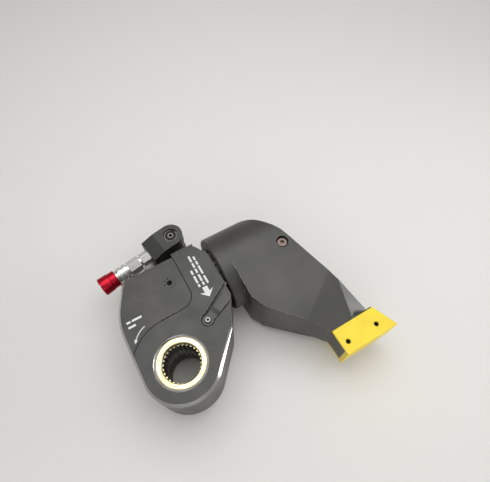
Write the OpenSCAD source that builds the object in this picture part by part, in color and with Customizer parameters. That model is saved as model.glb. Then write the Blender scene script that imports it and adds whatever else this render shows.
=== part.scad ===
// Hydraulic torque wrench with a splined drive bore, a ratchet drive, a
// reaction arm on the cylinder and a two-axis hose swivel.
// Frame: origin on the drive axis at mid thickness, +Z along the drive axis,
// +X along the cylinder towards the reaction arm, +Y from drive to cylinder.

/* [Drive] */
// Outside diameter of the bronze drive sleeves
sleeve_d = 61; // [57:0.5:62]
// Number of teeth in the drive spline
spline_n = 28; // [20:1:32]
// Root diameter of the drive spline
spline_root_d = 48; // [45:0.2:49]
// Height of a drive spline tooth
spline_h = 1.4; // [1:0.1:2]
// Depth of the plain pilot bore at each mouth of the drive
pilot_len = 8; // [5:0.5:10]
// Number of teeth on the ratchet wheel
ratchet_n = 36; // [30:1:40]
// Tip diameter of the ratchet wheel
ratchet_d = 85; // [82:0.5:86]
// Thickness of the ratchet wheel
ratchet_t = 32; // [29:1:33]
// Height of a ratchet tooth
tooth_h = 3.6; // [3:0.2:4]
// Thickness of each drive plate
plate_t = 10; // [8:0.5:11]

/* [Housing] */
// Thickness over the two flat faces
body_t = 86; // [84:1:92]
// Radius of the round nose
nose_r = 50; // [49.5:0.5:54]
// Distance from the drive axis to the cylinder axis
lever_r = 98; // [95:1:102]
// Height of the flat top above the cylinder axis
top_h = 36.5; // [35:0.5:40]
// Position of the rear face along the cylinder
rear_x = 95; // [93:0.5:98]
// Edge chamfer of the flat faces
edge_c = 3.2; // [2:0.2:4]
// Wall thickness of the front shroud
shroud_wall = 6; // [5:0.5:7]
// Position of the shroud's upright split line
split_x = 50; // [49:0.5:54]
// Height of the shroud's level split line
split_y = 60; // [59.5:0.5:64]
// Corner radius of the split line
split_r = 18; // [10:1:22]

/* [Cylinder] */
// Bore of the cylinder
bore_d = 54; // [48:1:56]
// Stroke of the piston
stroke = 36; // [30:1:38]
// Diameter of the piston rod
rod_d = 28; // [24:1:29]
// Length of the piston
piston_len = 24; // [20:1:28]
// Root diameter of the splined rear end
barrel_d = 76; // [72:1:78]
// Number of teeth on the splined rear end
arm_spline_n = 24; // [18:1:30]
// Diameter of the pin that joins the rod to the drive plates
rod_pin_d = 18; // [16:1:20]

/* [Reaction arm] */
// Outside diameter of the arm's round hub
hub_d = 112; // [106:1:118]
// Position of the hub's front face along the cylinder
hub_x = 98.5; // [98.5:0.5:102]
// Length of the plain round collar before the leg starts
collar_len = 17; // [12:1:20]
// Taper of each face of the leg
leg_taper = 10; // [8:0.5:11]
// Position of the foot's sole below the drive axis
sole_y = -92; // [-98:1:-88]
// Width of the foot along the cylinder direction at its top
foot_w = 66; // [60:1:72]
// Height of the yellow shoe on the foot
shoe_h = 35; // [30:1:38]
// Half thickness of the foot over the shoe
foot_z = 23; // [21:0.5:25]
// Wall thickness of the shoe
shoe_wall = 4; // [3:0.5:5]
// Thickness of the shoe's sole
shoe_sole = 6; // [5:0.5:8]

/* [Release lever] */
// Pivot position along the cylinder
lever_px = 52; // [51.5:0.25:52.5]
// Pivot position above the drive axis
lever_py = 31; // [30.5:0.25:31.5]
// Length from the pivot to the tip
lever_len = 41; // [34:1:44]
// Width of the lever
lever_w = 12; // [10:0.5:13]
// Angle of the lever in its rest position
lever_a = 23; // [20:1:26]
// Angle through which the lever moves
lever_swing = 9; // [8:0.5:10]

/* [Swivel] */
// Position of the swivel axis along the cylinder
swivel_x = 64; // [62:0.5:68]
// Height of the cross pin above the flat top
swivel_h = 42.5; // [42:0.5:46]
// Width of the swivel block
block_w = 35; // [32:0.5:36]
// Height of the swivel block over its cheeks
block_t = 60; // [56:1:66]
// Length from the cross pin to the coupler face
block_len = 40; // [38:1:46]
// Diameter of the cross pin
cross_d = 16; // [14:0.5:17]
// Tilt of the couplers towards the housing
coupler_tilt = 10; // [6:0.5:11]
// Distance between the two couplers
coupler_pitch = 28; // [27.5:0.5:31]
// Width over the flats of the hexagonal adapters
hex_af = 17; // [15:0.5:19]

/* [Couplers] */
// Diameter of the female coupler's body
female_d = 21; // [20:0.5:22]
// Diameter of the sliding sleeve at its wide end
sleeve_od = 26.6; // [25:0.2:27]
// Length of the sliding sleeve
sleeve_len = 24.5; // [22:0.5:26]
// Radius of the socket that takes the hose nipple
socket_r = 6.1; // [5.5:0.1:6.4]
// Radius of the male nipple
nipple_r = 6; // [5:0.1:6.4]

/* [Clearances] */
// Radial running clearance of shafts
run_c = 0.06; // [0.03:0.01:0.1]
// Free gap beside moving parts
free_c = 0.3; // [0.25:0.05:0.4]
// Locating gap between fixed parts
fit_c = 0.05; // [0.02:0.01:0.1]

/* [Hidden] */
$fn = 64;
eps = 0.01;
far = 400;

// Stack along the drive axis, from the middle outwards
half_t = body_t / 2;
ratchet_z = ratchet_t / 2;
plate_z0 = ratchet_z + free_c;
plate_z1 = plate_z0 + plate_t;
cav_z = plate_z1 + 2 * free_c;
tongue_z = half_t - shroud_wall - free_c;
front_x = 10 - nose_r;
slot_low_y = 20;

// Screw of the shroud on each side, and the ring of ticks cut around it
screw_p = [31, lever_r + 3.5];
screw_r = 2;
screw_head_r = 3.5;
screw_key = 3.4;
tick_n = 8;
tick_r0 = 5.8;
tick_len = 3;
tick_w = 1;
tick_d = 0.4;

// Drive sleeves
sleeve_r = sleeve_d / 2;
journal_r = sleeve_r - 2;
sleeve_in = 6;
sleeve_z0 = ratchet_z - sleeve_in;
flange_r = sleeve_r + 1.8;
circlip_t = 1.5;
circlip_z = half_t - 3.1;
flange_z0 = circlip_z - 3;
spline_tip_r = spline_root_d / 2 - spline_h;
pilot_r = spline_root_d / 2 + 0.2;

// Ratchet tooth: a steep driving flank with a small draft, and a long back
ratchet_r = ratchet_d / 2;
root_r = ratchet_r - tooth_h;
flank_draft = 14;
tip_land = 1;
root_land = 1.4;
mesh_c = 0.35;

// Cylinder layout along X
top_y = lever_r + top_h;
bore_r = bore_d / 2;
rod_r = rod_d / 2;
pin_x = 26;
lean = atan(pin_x / lever_r);
wall_x0 = 46;
wall_t = 4;
gland_x0 = wall_x0 + wall_t;
gland_len = 12;
end_gap = 1.5;
piston_x0 = gland_x0 + gland_len + end_gap + stroke;
piston_x1 = piston_x0 + piston_len;
cap_x0 = piston_x1 + end_gap;
cap_len = 26;
barrel_x1 = cap_x0 + cap_len;
thread_r = bore_r + 2;
arm_tooth_h = 3;
barrel_r = barrel_d / 2;
cap_flange_t = 6;
cap_flange_r = barrel_r - 4;
spigot_r = 20.5;
lock_r = 4;
lock_depth = 2.5;
spigot_x1 = barrel_x1 + cap_flange_t + 38;

// Drive plates and pawl, in the plates' own frame with +Y towards the rod pin
slot_c = 0.45;
slot_r1 = norm([pin_x, lever_r]);
eye_r = 15;
plate_hub_r = ratchet_r - 1.5;
plate_top_r = slot_r1 + rod_pin_d / 2 + 7;
pawl_hw = 11;
pawl_top = 58;
pawl_lift = 4.2;
holder_hw = 20;
holder_y0 = 48;
holder_y1 = 78;
holder_pin_r = 4;
spring_x = 5.5;
spring_od = 6;

// Reaction pawl, release shaft and their pocket
pawl_p = [53, 8];
pawl_hub_r = 9.5;
pawl_pin_r = 5.5;
pawl_tip_a = 36;
lug_x = lever_px + 3.9;
shaft_r = 5;
finger_hw = 3.5;
finger_len = 12;
pawl_spring_od = 6.6;
pawl_spring_y = 12;
pawl_spring_x = 18.4;
recess_d = 6;
lever_t = 3.4;
lever_z0 = half_t - recess_d + 0.8;

// Swivel
pin_y = top_y + swivel_h;
boss_y1 = top_y + 15.5;
spigot_base_r = 11;
spigot_y0 = lever_r + bore_r + 5;
tongue_r = 16;
tongue_hz = 10.7;
slot_hz = tongue_hz + free_c;
slot_u = 17.8;
cross_r = cross_d / 2;
cheek_r = block_w / 2;
cbore_r = 10.5;
cbore_d = 4;

// Coupler stations, measured from the cross pin
adapter_len = 14;
female_u0 = block_len + adapter_len + 2.5;
shoulder_u = female_u0 + 33.5;
sleeve_u1 = shoulder_u + 29.5;
sleeve_u0 = sleeve_u1 - sleeve_len;
mouth_u = sleeve_u1 + 0.5;
tube_r = 9.4;
socket_len = 16;
socket_u = mouth_u - socket_len;
valve_r = 3.6;
valve_u1 = socket_u - fit_c;
valve_u0 = valve_u1 - 11.5;
valve_bore_len = 16;
flats_len = 18;

// Plan outline of housing and shroud, anticlockwise from the nose's left side
heel_p = [73.5, 6.6];
heel_drop = 49;
rear_drop = 19;
rear_cut = 11;
front_p = [25.7 - nose_r, top_y];
front_round = 17;
flank_drop = 11.7;
flank_round = 90;
nose_a = atan2(heel_p[1], heel_p[0]) - acos(nose_r / norm(heel_p));
outline = rounded([
  [nose_r * cos(nose_a), nose_r * sin(nose_a), 0],
  [heel_p[0], heel_p[1], 0],
  [rear_x, lever_r - heel_drop, 0],
  [rear_x, top_y - rear_drop, 0],
  [rear_x - rear_cut, top_y, 0],
  [front_p[0], front_p[1], front_round],
  [-nose_r, lever_r - flank_drop, flank_round],
  [-nose_r, 0, 0]
]);

function unit(v) = v / norm(v);
function left_of(v) = [-v[1], v[0]];
function polar(r, a) = [r * cos(a), r * sin(a)];
function at(list, i) = list[(i + len(list)) % len(list)];
function edge_normal(pts, i) = left_of(unit(at(pts, i + 1) - at(pts, i)));

// Corner points of an anticlockwise convex outline moved inwards by d
function inset(pts, d) = [
  for (i = [0 : len(pts) - 1])
    let (n1 = edge_normal(pts, i - 1), n2 = edge_normal(pts, i))
      pts[i] + d * (n1 + n2) / (1 + n1 * n2)
];

// Arc that rounds the corner p1 between p0 and p2
function corner(p0, p1, p2, r) =
  let (u = unit(p0 - p1), v = unit(p2 - p1), h = acos(u * v) / 2)
  let (c = p1 + unit(u + v) * r / sin(h))
  let (s = p1 + u * r / tan(h) - c, e = p1 + v * r / tan(h) - c)
  let (a0 = atan2(s[1], s[0]), d0 = atan2(e[1], e[0]) - a0)
  let (d = d0 > 180 ? d0 - 360 : d0 < -180 ? d0 + 360 : d0, n = ceil(abs(d) / 5))
  [for (k = [0 : n]) c + polar(r, a0 + d * k / n)];

// Outline whose corners [x, y, radius] are rounded
function rounded(pts) = [
  for (i = [0 : len(pts) - 1])
    let (p = [pts[i][0], pts[i][1]], a = at(pts, i - 1), b = at(pts, i + 1))
      each pts[i][2] > 0 ? corner([a[0], a[1]], p, [b[0], b[1]], pts[i][2]) : [p]
];

// Profile with n straight-flanked teeth between two radii
function teeth(n, r_root, r_tip, base = 0.28, tip = 0.18) = [
  for (k = [0 : n - 1])
    let (p = 360 / n, a = k * p)
      each [polar(r_root, a - base * p), polar(r_tip, a - tip * p),
            polar(r_tip, a + tip * p), polar(r_root, a + base * p)]
];

// Ratchet profile, grown by c on every flank
function ratchet_profile(c) =
  let (p = 360 / ratchet_n, d = c / root_r * 180 / PI)
  let (lean_a = tooth_h * tan(flank_draft) / ratchet_r * 180 / PI)
  let (tip_a = tip_land / ratchet_r * 180 / PI, root_a = root_land / root_r * 180 / PI)
  [for (k = [0 : ratchet_n - 1])
    each [polar(root_r + c, k * p - d), polar(ratchet_r + c, k * p + lean_a - d),
          polar(ratchet_r + c, k * p + lean_a + tip_a + d),
          polar(root_r + c, (k + 1) * p - root_a + d)]];

module both_sides() {
  children();
  mirror([0, 0, 1]) children();
}

module slab(z0, z1) {
  translate([0, 0, z0]) linear_extrude(z1 - z0) children();
}

module rod_z(r, z0, z1) {
  translate([0, 0, z0]) cylinder(r = r, h = z1 - z0);
}

module rod_along_x(r, x0, x1) {
  translate([x0, 0, 0]) rotate([0, 90, 0]) cylinder(r = r, h = x1 - x0);
}

module ring_z(r0, r1, z0, z1) {
  difference() {
    rod_z(r1, z0, z1);
    rod_z(r0, z0 - 1, z1 + 1);
  }
}

module on_cylinder() {
  translate([0, lever_r, 0]) children();
}

module plate_frame() {
  rotate([0, 0, -lean]) children();
}

module coupler_frame() {
  translate([swivel_x, pin_y, 0]) rotate([0, 0, 180 + coupler_tilt]) children();
}

// Turns a profile of [radius, station] points about the coupler's axis
module turned_coupler(side) {
  coupler_frame() translate([0, 0, side * coupler_pitch / 2]) rotate([0, 90, 0])
    rotate_extrude() children();
}

// Points and faces of a wire swept along a helix
function coil_points(r, w, len, turns, n, m) = [
  for (i = [0 : n], j = [0 : m - 1])
    let (a = 360 * turns * i / n, b = 360 * j / m, q = r + w * cos(b))
      [q * cos(a), q * sin(a), w + (len - 2 * w) * i / n + w * sin(b)]
];
function coil_faces(n, m) = [
  [for (j = [m - 1 : -1 : 0]) j],
  for (i = [0 : n - 1], j = [0 : m - 1])
    let (a = i * m + j, b = i * m + (j + 1) % m)
      each [[a, b, b + m], [a, b + m, a + m]],
  [for (j = [0 : m - 1]) n * m + j]
];

module coil(od, wire, len, turns) {
  n = turns * 14;
  m = 6;
  polyhedron(coil_points((od - wire) / 2, wire / 2, len, turns, n, m), coil_faces(n, m));
}

// Chamfer cutter along one straight edge of the upper face, running on past its ends
module edge_cutter(p, q, before, after) {
  translate([p[0], p[1], 0]) rotate([0, 0, atan2(q[1] - p[1], q[0] - p[0])])
    translate([-before, 0, 0]) rotate([90, 0, 90]) linear_extrude(norm(q - p) + before + after)
      polygon([[-1, half_t - edge_c - 1], [-1, half_t + 1], [edge_c + 1, half_t + 1]]);
}

module nose_cutter() {
  rotate([0, 0, 180]) rotate_extrude(angle = 180 + nose_a)
    polygon([[nose_r - edge_c - 1, half_t + 1], [nose_r + 1, half_t + 1],
             [nose_r + 1, half_t - edge_c - 1]]);
}

// Full outside form of the housing with its shroud on
module envelope() {
  difference() {
    union() {
      slab(-half_t, half_t) polygon(outline);
      rod_z(nose_r, -half_t, half_t);
    }
    both_sides() {
      for (i = [0 : len(outline) - 2])
        edge_cutter(outline[i], outline[i + 1], i == 0 ? 0 : edge_c, i == len(outline) - 2 ? 0 : edge_c);
      nose_cutter();
    }
  }
}

// Plan of the area under the shroud, set back from the split line by c
module shroud_plan(c) {
  difference() {
    union() {
      polygon(rounded([[-100, split_y + c, 0], [split_x - c, split_y + c, split_r],
                       [split_x - c, top_y + 20, 0], [-100, top_y + 20, 0]]));
      translate([-100, 10]) square([100, split_y]);
    }
    circle(r = split_y - 1 + c);
  }
}

// Plan of the slot for the drive plates, the pawls and the rod
module cavity_plan() {
  circle(r = ratchet_r + 2.4);
  polygon([[front_x, slot_low_y], [0, 0], [wall_x0 - 4, 30], [wall_x0, split_y], [wall_x0, lever_r + 24],
           [-100, lever_r + 24], [-100, split_y - 15], [front_x, split_y - 15]]);
  translate(pawl_p) circle(r = pawl_hub_r + 2 * free_c);
  polygon(rounded([[30, 6, 0], [pawl_p[0] + 12.5, 6, 4], [pawl_p[0] + 14, 46, 6], [30, 46, 0]]));
}

// Plan of the milled recess in which the release lever swings
module recess_plan() {
  w = lever_w / 2 + 1.4;
  piv = [lever_px, lever_py];
  a1 = lever_a + lever_swing;
  translate(piv) circle(r = lever_w / 2 + 3);
  polygon([piv + polar(w, lever_a - 90), piv + polar(70, lever_a) + polar(w, lever_a - 90),
           piv + polar(70, a1) + polar(w, a1 + 90), piv + polar(w, a1 + 90)]);
}

module swivel_boss() {
  x0 = swivel_x - 13;
  translate([x0, top_y - 4, -25]) cube([34, boss_y1 - top_y + 4, 50]);
}

// Bore for one drive sleeve with the groove of its circlip
module sleeve_bore() {
  rod_z(sleeve_r + run_c, 0, half_t);
  rod_z(flange_r + run_c, flange_z0 - run_c, half_t);
  rod_z(flange_r + 1.9, circlip_z - fit_c, circlip_z + circlip_t + fit_c);
  rod_z(flange_r + 0.7, circlip_z, half_t + 1);
  translate([0, 0, half_t - 0.8]) cylinder(r1 = flange_r + 0.7, r2 = flange_r + 2.7, h = 2);
}

module housing() {
  color("#4a4b49") difference() {
    union() {
      difference() {
        envelope();
        slab(-far, far) shroud_plan(0);
      }
      slab(-tongue_z, tongue_z) intersection() {
        polygon(inset(outline, shroud_wall + free_c));
        shroud_plan(-2);
      }
      swivel_boss();
      on_cylinder() rotate([90, 0, 90]) slab(rear_x - 2, barrel_x1)
        polygon(teeth(arm_spline_n, barrel_r, barrel_r + arm_tooth_h));
    }
    slab(-cav_z, cav_z) cavity_plan();
    both_sides() sleeve_bore();
    // Cylinder bore, rod hole and end cap thread
    on_cylinder() {
      rod_along_x(rod_r + 0.5, wall_x0 - 1, gland_x0 + 1);
      rod_along_x(bore_r, gland_x0, barrel_x1 + 1);
      rod_along_x(thread_r + fit_c, cap_x0 - fit_c, barrel_x1 + 1);
    }
    // Swivel bore, its dowels and the two oil passages
    translate([swivel_x, 0, 0]) rotate([-90, 0, 0]) {
      rod_z(spigot_base_r + run_c, spigot_y0, boss_y1 + 1);
      rod_z(2.5, lever_r + bore_r - 2, spigot_y0 + 1);
    }
    translate([0, spigot_y0 + 1.5, 0]) rod_along_x(2.5, swivel_x, barrel_x1 + 1);
    translate([cap_x0 - end_gap / 2 - 1, 0, 0]) rotate([-90, 0, 0])
      rod_z(0.7, lever_r + bore_r - 2, spigot_y0 + 2);
    swivel_dowel_pair(2.5 + fit_c);
    // Release lever recess, shaft bore, pawl pin and its spring pocket
    slab(half_t - recess_d, half_t + 1) recess_plan();
    translate([lever_px, lever_py, 0]) rod_z(shaft_r + run_c, -cav_z - 8, half_t);
    translate(pawl_p) rod_z(pawl_pin_r + fit_c, -cav_z - 8, cav_z + 8);
    translate([0, pawl_p[1] + pawl_spring_y, 0])
      rod_along_x(pawl_spring_od / 2 + 0.7, pawl_p[0] + 10, pawl_p[0] + pawl_spring_x + 0.1);
    both_sides() translate(screw_p) rod_z(screw_r + fit_c, cav_z + 2, half_t);
  }
}

module shroud() {
  color("#4d4e4b") difference() {
    intersection() {
      envelope();
      slab(-far, far) shroud_plan(free_c);
    }
    slab(-tongue_z - free_c, tongue_z + free_c) polygon(inset(outline, shroud_wall));
    both_sides() translate(screw_p) rod_z(screw_head_r + 0.25, cav_z, half_t + 1);
    translate(screw_p) for (k = [0 : tick_n - 1]) rotate([0, 0, k * 360 / tick_n])
      translate([tick_r0, -tick_w / 2, half_t - tick_d]) cube([tick_len, tick_w, 1]);
  }
}

module shroud_screws() {
  color("#202020") both_sides() translate(screw_p) difference() {
    union() {
      rod_z(screw_r, cav_z + 2.5, half_t - 2);
      rod_z(screw_head_r, tongue_z, half_t - 2);
    }
    translate([0, 0, half_t - 4]) cylinder(d = screw_key, h = 3, $fn = 6);
  }
}

module spline_hole(z0, z1) {
  slab(z0, z1) polygon(teeth(spline_n, spline_root_d / 2, spline_tip_r));
}

module sleeve_solid() {
  color("#d9bd7a") difference() {
    union() {
      rod_z(journal_r, sleeve_z0, plate_z1 + 1);
      rod_z(sleeve_r, plate_z1 + free_c, half_t - 0.6);
      rod_z(flange_r, flange_z0, circlip_z - free_c);
    }
    spline_hole(0, half_t);
    rod_z(pilot_r, half_t - 0.6 - pilot_len, half_t);
    translate([0, 0, half_t - 1.6]) cylinder(r1 = pilot_r, r2 = pilot_r + 2, h = 2);
  }
}

module drive_sleeve_upper() {
  sleeve_solid();
}

module drive_sleeve_lower() {
  mirror([0, 0, 1]) sleeve_solid();
}

module sleeve_circlips() {
  color("#8f8f8c") both_sides() translate([0, 0, circlip_z]) rotate([0, 0, 110])
    rotate_extrude(angle = 335)
      translate([sleeve_r + free_c, 0]) square([flange_r + 1.9 - fit_c - sleeve_r - free_c, circlip_t]);
}

module ratchet_wheel() {
  color("#77756f") difference() {
    slab(-ratchet_z, ratchet_z) polygon(ratchet_profile(0));
    spline_hole(-ratchet_z - 1, ratchet_z + 1);
    both_sides() rod_z(journal_r + fit_c, sleeve_z0, ratchet_z + 1);
  }
}

module drive_plate() {
  color("#6d6c68") plate_frame() difference() {
    slab(plate_z0, plate_z1) union() {
      circle(r = plate_hub_r);
      polygon(rounded([[-plate_hub_r + 3, 12, 0], [plate_hub_r - 3, 12, 0],
                       [24, holder_y1, 20], [17, plate_top_r, 14],
                       [-17, plate_top_r, 14], [-24, holder_y1, 20]]));
    }
    rod_z(journal_r + run_c, plate_z0 - 1, plate_z1 + 1);
    for (s = [-1, 1]) translate([s * 15.5, holder_y1 - 8, 0])
      rod_z(holder_pin_r + fit_c, plate_z0 - 1, plate_z1 + 1);
    // Radial slot for the rod pin
    for (r = [lever_r - slot_c, slot_r1 + slot_c]) translate([0, r, 0])
      rod_z(rod_pin_d / 2 + slot_c, plate_z0 - 1, plate_z1 + 1);
    translate([-rod_pin_d / 2 - slot_c, lever_r - slot_c, plate_z0 - 1])
      cube([rod_pin_d + 2 * slot_c, slot_r1 - lever_r + 2 * slot_c, plate_t + 2]);
  }
}

module drive_plate_upper() {
  drive_plate();
}

module drive_plate_lower() {
  mirror([0, 0, 1]) drive_plate();
}

module spring_holes(r) {
  for (s = [-1, 1]) translate([s * spring_x, pawl_top - 6, 0]) rotate([-90, 0, 0])
    cylinder(r = r, h = 22.5);
}

module pawl_holder() {
  color("#7d7b76") plate_frame() difference() {
    slab(-plate_z0, plate_z0) polygon(rounded([
      [-holder_hw, holder_y0, 2], [-pawl_hw - free_c, holder_y0, 0],
      [-pawl_hw - free_c, pawl_top + pawl_lift + free_c, 0],
      [pawl_hw + free_c, pawl_top + pawl_lift + free_c, 0],
      [pawl_hw + free_c, holder_y0, 0], [holder_hw, holder_y0, 2],
      [holder_hw, holder_y1, 3], [-holder_hw, holder_y1, 3]]));
    for (s = [-1, 1]) translate([s * 15.5, holder_y1 - 8, 0])
      rod_z(holder_pin_r + fit_c, -plate_z0 - 1, plate_z0 + 1);
    spring_holes(spring_od / 2 + 0.4);
  }
}

module holder_pins() {
  color("#9a9a97") plate_frame() for (s = [-1, 1]) translate([s * 15.5, holder_y1 - 8, 0])
    rod_z(holder_pin_r, -plate_z1, plate_z1);
}

module drive_pawl() {
  color("#8b8983") difference() {
    plate_frame() slab(-plate_z0 + 0.4, plate_z0 - 0.4) translate([-pawl_hw, 30])
      square([2 * pawl_hw, pawl_top - 30]);
    slab(-plate_z0, plate_z0) polygon(ratchet_profile(mesh_c));
    plate_frame() spring_holes(spring_od / 2 + 0.4);
  }
}

module drive_pawl_springs() {
  color("#b5b5b0") plate_frame() for (s = [-1, 1]) translate([s * spring_x, pawl_top - 6, 0])
    rotate([-90, 0, 0]) coil(spring_od, 0.9, 22.4, 7);
}

module rod_eye() {
  color("#8a8986") difference() {
    union() {
      translate([pin_x, lever_r, 0]) rod_z(eye_r, -plate_z0 + 0.4, plate_z0 - 0.4);
      on_cylinder() rod_along_x(rod_r - 0.4, pin_x, wall_x0 - 2);
    }
    translate([pin_x, lever_r, 0]) rod_z(rod_pin_d / 2 + fit_c, -plate_z0, plate_z0);
    on_cylinder() rod_along_x(6 + fit_c, pin_x + 10, wall_x0);
  }
}

module rod_pin() {
  color("#b2b1ad") translate([pin_x, lever_r, 0]) rod_z(rod_pin_d / 2, -plate_z1 + 0.4, plate_z1 - 0.4);
}

module piston_rod() {
  color("#c4c4c1") on_cylinder() {
    rod_along_x(6, pin_x + 11, wall_x0 - 1);
    rod_along_x(rod_r, wall_x0 - 2, piston_x0);
    rod_along_x(8, piston_x0 - 1, piston_x1 - 2);
  }
}

module piston() {
  color("#8f8e8a") on_cylinder() difference() {
    rod_along_x(bore_r - run_c, piston_x0, piston_x1);
    difference() {
      rod_along_x(bore_r + 1, piston_x0 + piston_len / 2 - 3, piston_x0 + piston_len / 2 + 3);
      rod_along_x(bore_r - 4, piston_x0, piston_x1);
    }
    rod_along_x(8 + fit_c, piston_x0 - 1, piston_x1 - 2 + fit_c);
    rod_along_x(7, piston_x1 - 2, piston_x1 + 1);
  }
}

module piston_seal() {
  color("#2c2c2e") on_cylinder() difference() {
    rod_along_x(bore_r - run_c, piston_x0 + piston_len / 2 - 2.9, piston_x0 + piston_len / 2 + 2.9);
    rod_along_x(bore_r - 4 + fit_c, piston_x0, piston_x1);
  }
}

module rod_gland() {
  color("#b08d4f") on_cylinder() difference() {
    rod_along_x(bore_r - fit_c, gland_x0, gland_x0 + gland_len);
    rod_along_x(rod_r + run_c, gland_x0 - 1, gland_x0 + gland_len + 1);
    rod_along_x(rod_r + 4, gland_x0 + 3, gland_x0 + 9);
  }
}

module rod_seal() {
  color("#2c2c2e") on_cylinder() difference() {
    rod_along_x(rod_r + 4 - fit_c, gland_x0 + 3.1, gland_x0 + 8.9);
    rod_along_x(rod_r + run_c, gland_x0, gland_x0 + gland_len);
  }
}

module end_cap() {
  color("#70706c") intersection() {
    on_cylinder() difference() {
      union() {
        rod_along_x(thread_r, cap_x0, barrel_x1);
        rod_along_x(cap_flange_r, barrel_x1, barrel_x1 + cap_flange_t);
        rod_along_x(spigot_r, barrel_x1, spigot_x1);
      }
      // Seal groove, lock groove and the two holes of a pin spanner
      difference() {
        rod_along_x(thread_r + 1, cap_x0 + 5, cap_x0 + 9);
        rod_along_x(thread_r - 3, cap_x0, cap_x0 + 20);
      }
      difference() {
        rod_along_x(spigot_r + 1, lock_x() - lock_r - 0.6, lock_x() + lock_r + 0.6);
        rod_along_x(spigot_r - lock_depth, lock_x() - 10, lock_x() + 10);
      }
      rotate([45, 0, 0]) for (s = [-1, 1]) translate([0, s * 27.5, 0])
        rod_along_x(3, barrel_x1 + 1, barrel_x1 + cap_flange_t + 1);
      rod_along_x(8, spigot_x1 - 8, spigot_x1 + 1);
    }
    // The spigot is finished flush with the slanted back of the arm
    slab(-far, far) arm_plan();
  }
}

module end_cap_seal() {
  color("#2c2c2e") on_cylinder() difference() {
    rod_along_x(thread_r, cap_x0 + 5.1, cap_x0 + 8.9);
    rod_along_x(thread_r - 3 + fit_c, cap_x0, cap_x0 + 20);
  }
}

module passage_plug() {
  color("#8d8d8a") translate([0, spigot_y0 + 1.5, 0])
    rod_along_x(2.5 - fit_c, barrel_x1 - 10, barrel_x1 - 0.5);
}

module reaction_pawl() {
  tip = polar(ratchet_r + free_c, pawl_tip_a);
  back = polar(ratchet_r + 9, pawl_tip_a + 1);
  z = ratchet_z - 0.6;
  lug_y = pawl_p[1] + 16.4;
  color("#8b8983") difference() {
    union() {
      translate(pawl_p) rod_z(pawl_hub_r, -z, z);
      slab(-z, z) polygon([tip, pawl_p + polar(pawl_hub_r - 0.5, 152), pawl_p,
                           pawl_p + polar(pawl_hub_r - 0.5, 118), back]);
      translate([lug_x, pawl_p[1], -z]) cube([6, lug_y - pawl_p[1], 2 * z]);
    }
    translate(pawl_p) rod_z(pawl_pin_r + run_c, -ratchet_z, ratchet_z);
  }
}

module reaction_pawl_pin() {
  color("#b2b1ad") translate(pawl_p) rod_z(pawl_pin_r, -cav_z - 7.9, cav_z + 7.9);
}

module reaction_pawl_spring() {
  x0 = lug_x + 6.2;
  color("#b5b5b0") translate([x0, pawl_p[1] + pawl_spring_y, 0]) rotate([0, 90, 0])
    coil(pawl_spring_od, 0.9, pawl_p[0] + pawl_spring_x - x0, 4);
}

// Side form of the bent lever, in the plane through its length
function lever_profile() =
  let (z = lever_z0, t = lever_t, e = lever_len + 10, b = 2.4)
  [[-20, z], [13, z], [19, z + b], [e, z + b], [e, z + b + t], [18, z + b + t], [12, z + t], [-20, z + t]];

module release_lever() {
  color("#8c8b86") translate([lever_px, lever_py, 0]) rotate([0, 0, lever_a]) difference() {
    intersection() {
      slab(0, far) union() {
        circle(r = lever_w / 2 + 1.5);
        polygon(rounded([[0, -lever_w / 2, 0], [lever_len, -lever_w / 2, 4],
                         [lever_len, lever_w / 2, 4], [0, lever_w / 2, 0]]));
      }
      rotate([90, 0, 0]) linear_extrude(40, center = true) polygon(lever_profile());
    }
    rod_z(2 + fit_c, 0, far);
  }
}

module release_shaft() {
  color("#9a9a97") translate([lever_px, lever_py, 0]) difference() {
    union() {
      rod_z(shaft_r, -cav_z - 7, lever_z0);
      translate([-finger_hw, -finger_len, -ratchet_z + 2])
        cube([2 * finger_hw, finger_len, 2 * ratchet_z - 4]);
    }
    rod_z(2, lever_z0 - 10, lever_z0 + 1);
  }
}

module release_screw() {
  color("#2a2a2a") translate([lever_px, lever_py, 0]) difference() {
    union() {
      rod_z(2 - fit_c, lever_z0 - 9.5, lever_z0 + lever_t + 1);
      rod_z(4, lever_z0 + lever_t, lever_z0 + lever_t + 2.6);
    }
    translate([0, 0, lever_z0 + lever_t + 1]) cylinder(d = 3.4, h = 3, $fn = 6);
  }
}

// Reaction arm: a round hub on the cylinder, blended into a tapering leg
hub_r = hub_d / 2;
leg_x0 = hub_x + collar_len;
foot_x0 = 186;
foot_y1 = sole_y + shoe_h;
flare_t = 0.275;
flare_in = 3.1;
flare_round = 120;
back_x = 179.6;
back_t = 0.4;
back_round = 90;
shoulder_x = 162;
foot_p = [foot_x0 + foot_w, foot_y1];
back_top = [back_x, lever_r + hub_r];
flare_p = foot_p + (back_top - foot_p) * flare_t - [flare_in, 0];
back_p = back_top + (flare_p - back_top) * back_t;
hub_low_y = lever_r - hub_r;
knee_drop = 10;
calf_drop = 33;
facet_p1 = flare_p + [0.5, 0];
facet_p2 = [foot_x0 + 35, foot_y1 + 5];
facet_roll = 32;
facet_ledge = 2;
crease_p = [foot_x0 + 13, foot_y1 + 50];
crease_yaw = 15;
shoulder_r = 60;
function lock_x() = 191.5;
lock_y = lever_r - (spigot_r - lock_depth + lock_r + 0.4);
lock_end_z = 33;
lock_seat_z = 43.5;
lock_head_h = 6.5;
lock_head_r = 6.5;
lock_key = 6.9;

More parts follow.
